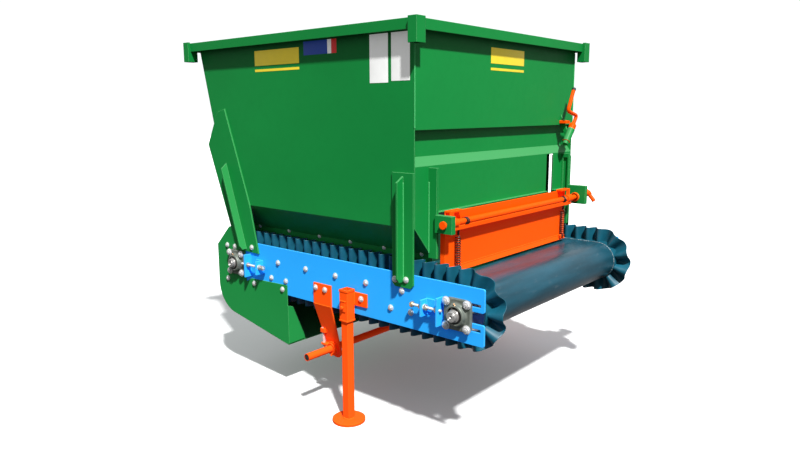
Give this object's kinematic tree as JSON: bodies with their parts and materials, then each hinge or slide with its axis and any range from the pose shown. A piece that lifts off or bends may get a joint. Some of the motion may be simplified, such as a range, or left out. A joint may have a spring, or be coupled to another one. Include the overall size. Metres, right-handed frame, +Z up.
{
  "type": "tractor-carried manure spreader",
  "caption": "Sheet-metal hopper over a wide cross conveyor belt with corrugated sidewalls, a sprung discharge flap, a tail guard, parking legs and a three-point headstock.",
  "frame": {"origin": "middle of the machine's bounding box, on the ground under its parking legs", "axes": "+X along the conveyor towards the discharge flap, +Y towards the tractor, +Z up"},
  "size_m": [2.0284, 1.773, 1.858],
  "materials": {
    "green_paint": "satin powder coat",
    "blue_paint": "satin powder coat",
    "orange_paint": "satin powder coat",
    "belt_rubber": "smooth, slightly glossy",
    "sidewall_rubber": "matte",
    "strip_rubber": "matte",
    "roller_steel": "turned",
    "bearing_casting": "painted casting",
    "zinc_steel": "zinc plated",
    "spring_wire": "oiled dark wire",
    "frame_paint": "satin powder coat",
    "motor_casting": "black paint"
  },
  "bodies": {
    "spreader": {"hopper_near_wall": "green_paint", "hopper_far_wall": "green_paint", "hopper_back_wall": "green_paint", "hopper_front_panel": "green_paint", "hopper_lower_panel": "green_paint", "hopper_inner_wall": "green_paint", "hopper_rim": "green_paint", "rim_corner_caps": "green_paint", "near_front_support": "green_paint", "far_front_support": "green_paint", "near_rear_support": "green_paint", "far_rear_support": "green_paint", "gate_uprights": "green_paint", "gate_brackets": "green_paint", "near_guard_side": "green_paint", "far_guard_side": "green_paint", "guard_wrapper": "green_paint", "crank_sleeve": "green_paint", "near_rail": "blue_paint", "far_rail": "blue_paint", "tensioner_lugs": "blue_paint", "crank": "orange_paint", "near_leg_socket": "orange_paint", "far_leg_sockets": "orange_paint", "hangers": "orange_paint", "cross_tube": "orange_paint", "hitch_frame": "orange_paint", "hitch_cheeks": "orange_paint", "top_link_clevis": "orange_paint", "belt": "belt_rubber", "near_sidewall": "sidewall_rubber", "far_sidewall": "sidewall_rubber", "skirt_rubbers": "strip_rubber", "discharge_roller": "roller_steel", "tail_roller": "roller_steel", "discharge_bearings": "bearing_casting", "tail_bearings": "bearing_casting", "tensioner_rods": "zinc_steel", "lower_hitch_pins": "zinc_steel", "gate_lock": "zinc_steel", "cross_members": "frame_paint", "belt_bed": "frame_paint", "tie_bars": "frame_paint", "drive_motor": "motor_casting"},
    "gate": {"gate_flap": "orange_paint", "gate_springs": "spring_wire"},
    "near_leg_slide": {"near_leg": "orange_paint"},
    "far_front_leg_slide": {"far_front_leg": "orange_paint"},
    "far_rear_leg_slide": {"far_rear_leg": "orange_paint"}
  },
  "joints": [
    {"name": "gate_hinge", "type": "hinge", "parent": "spreader", "child": "gate", "pos_m": [0.69688, -0.0485, 0.999], "axis": [0, -1, 0], "range_deg": [0, 60], "stiffness_Nm_per_rad": 25, "springref_deg": -28.65},
    {"name": "near_leg_height", "type": "slide", "parent": "spreader", "child": "near_leg_slide", "axis": [0, 0, 1], "range_m": [0, 0.3]},
    {"name": "far_front_leg_height", "type": "slide", "parent": "spreader", "child": "far_front_leg_slide", "axis": [0, 0, 1], "range_m": [0, 0.3]},
    {"name": "far_rear_leg_height", "type": "slide", "parent": "spreader", "child": "far_rear_leg_slide", "axis": [0, 0, 1], "range_m": [0, 0.3]}
  ]
}
